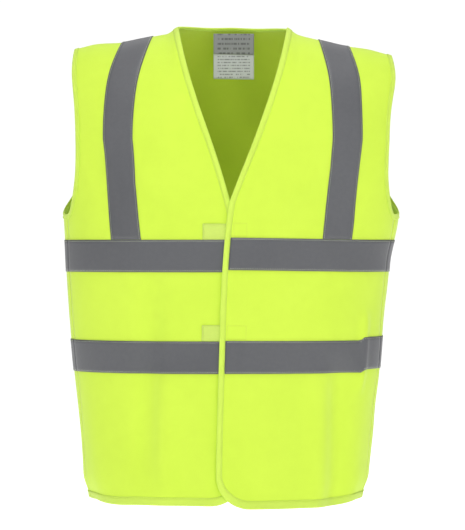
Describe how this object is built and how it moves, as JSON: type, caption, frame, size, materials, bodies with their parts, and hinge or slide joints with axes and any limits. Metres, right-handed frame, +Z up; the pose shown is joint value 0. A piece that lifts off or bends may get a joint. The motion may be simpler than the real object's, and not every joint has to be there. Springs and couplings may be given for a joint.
{
  "type": "high visibility vest",
  "caption": "Sleeveless fluorescent safety vest with reflective hoops and braces, bound edges and an open front that closes on hook-and-loop pads.",
  "frame": {"origin": "middle of the line between the two neck points of the shoulders, where the wearer's shoulders hold the vest up", "axes": "+X to the wearer's left, +Y to the back, +Z up; the front faces -Y"},
  "size_m": [0.5414, 0.3232, 0.7559],
  "materials": {
    "yellow_cloth": "fluorescent yellow warp-knit polyester, matt",
    "binding": "folded yellow polyester binding, slightly darker than the cloth",
    "reflective_tape": "grey glass-bead retroreflective tape",
    "hook_pad": "nylon hook tape, yellow",
    "loop_pad": "nylon loop tape, yellow",
    "label": null
  },
  "bodies": {
    "vest": {"back_panel": "yellow_cloth", "front_panel_left": "yellow_cloth", "front_panel_right": "yellow_cloth", "neck_binding_back": "binding", "neck_binding_front_left": "binding", "armhole_binding_front_left": "binding", "armhole_binding_back_left": "binding", "hem_binding_front_left": "binding", "upper_tape_side_left": "reflective_tape", "lower_tape_side_left": "reflective_tape", "brace_front_left": "reflective_tape", "brace_back_left": "reflective_tape", "neck_binding_front_right": "binding", "armhole_binding_front_right": "binding", "armhole_binding_back_right": "binding", "hem_binding_front_right": "binding", "upper_tape_side_right": "reflective_tape", "lower_tape_side_right": "reflective_tape", "brace_front_right": "reflective_tape", "brace_back_right": "reflective_tape", "hem_binding_back": "binding", "upper_tape_back": "reflective_tape", "lower_tape_back": "reflective_tape"},
    "left_front": {"front_flap_left": "yellow_cloth", "front_edge_binding_left": "binding", "upper_tape_front_left": "reflective_tape", "lower_tape_front_left": "reflective_tape", "hook_pad_upper_left": "hook_pad", "hook_pad_lower_left": "hook_pad"},
    "right_front": {"front_flap_right": "yellow_cloth", "front_edge_binding_right": "binding", "upper_tape_front_right": "reflective_tape", "lower_tape_front_right": "reflective_tape", "loop_pad_upper_right": "loop_pad", "loop_pad_lower_right": "loop_pad"},
    "neck_labels": {"size_label": "label", "care_label": "label"}
  },
  "joints": [
    {"name": "left_front_open", "type": "hinge", "parent": "vest", "child": "left_front", "pos_m": [0.05, -0.1312, -0.11], "axis": [-0.1768, 0, 0.9842], "range_deg": [0, 120]},
    {"name": "right_front_open", "type": "hinge", "parent": "vest", "child": "right_front", "pos_m": [-0.05, -0.1312, -0.11], "axis": [-0.1768, 0, -0.9842], "range_deg": [0, 60]},
    {"name": "neck_labels_lift", "type": "hinge", "parent": "vest", "child": "neck_labels", "pos_m": [0, 0.0308, -0.0051], "axis": [-1, 0, 0], "range_deg": [-15, 150]}
  ],
  "couplings": [
    {"joint": "right_front_open", "follows": "left_front_open", "ratio": 0.5}
  ]
}
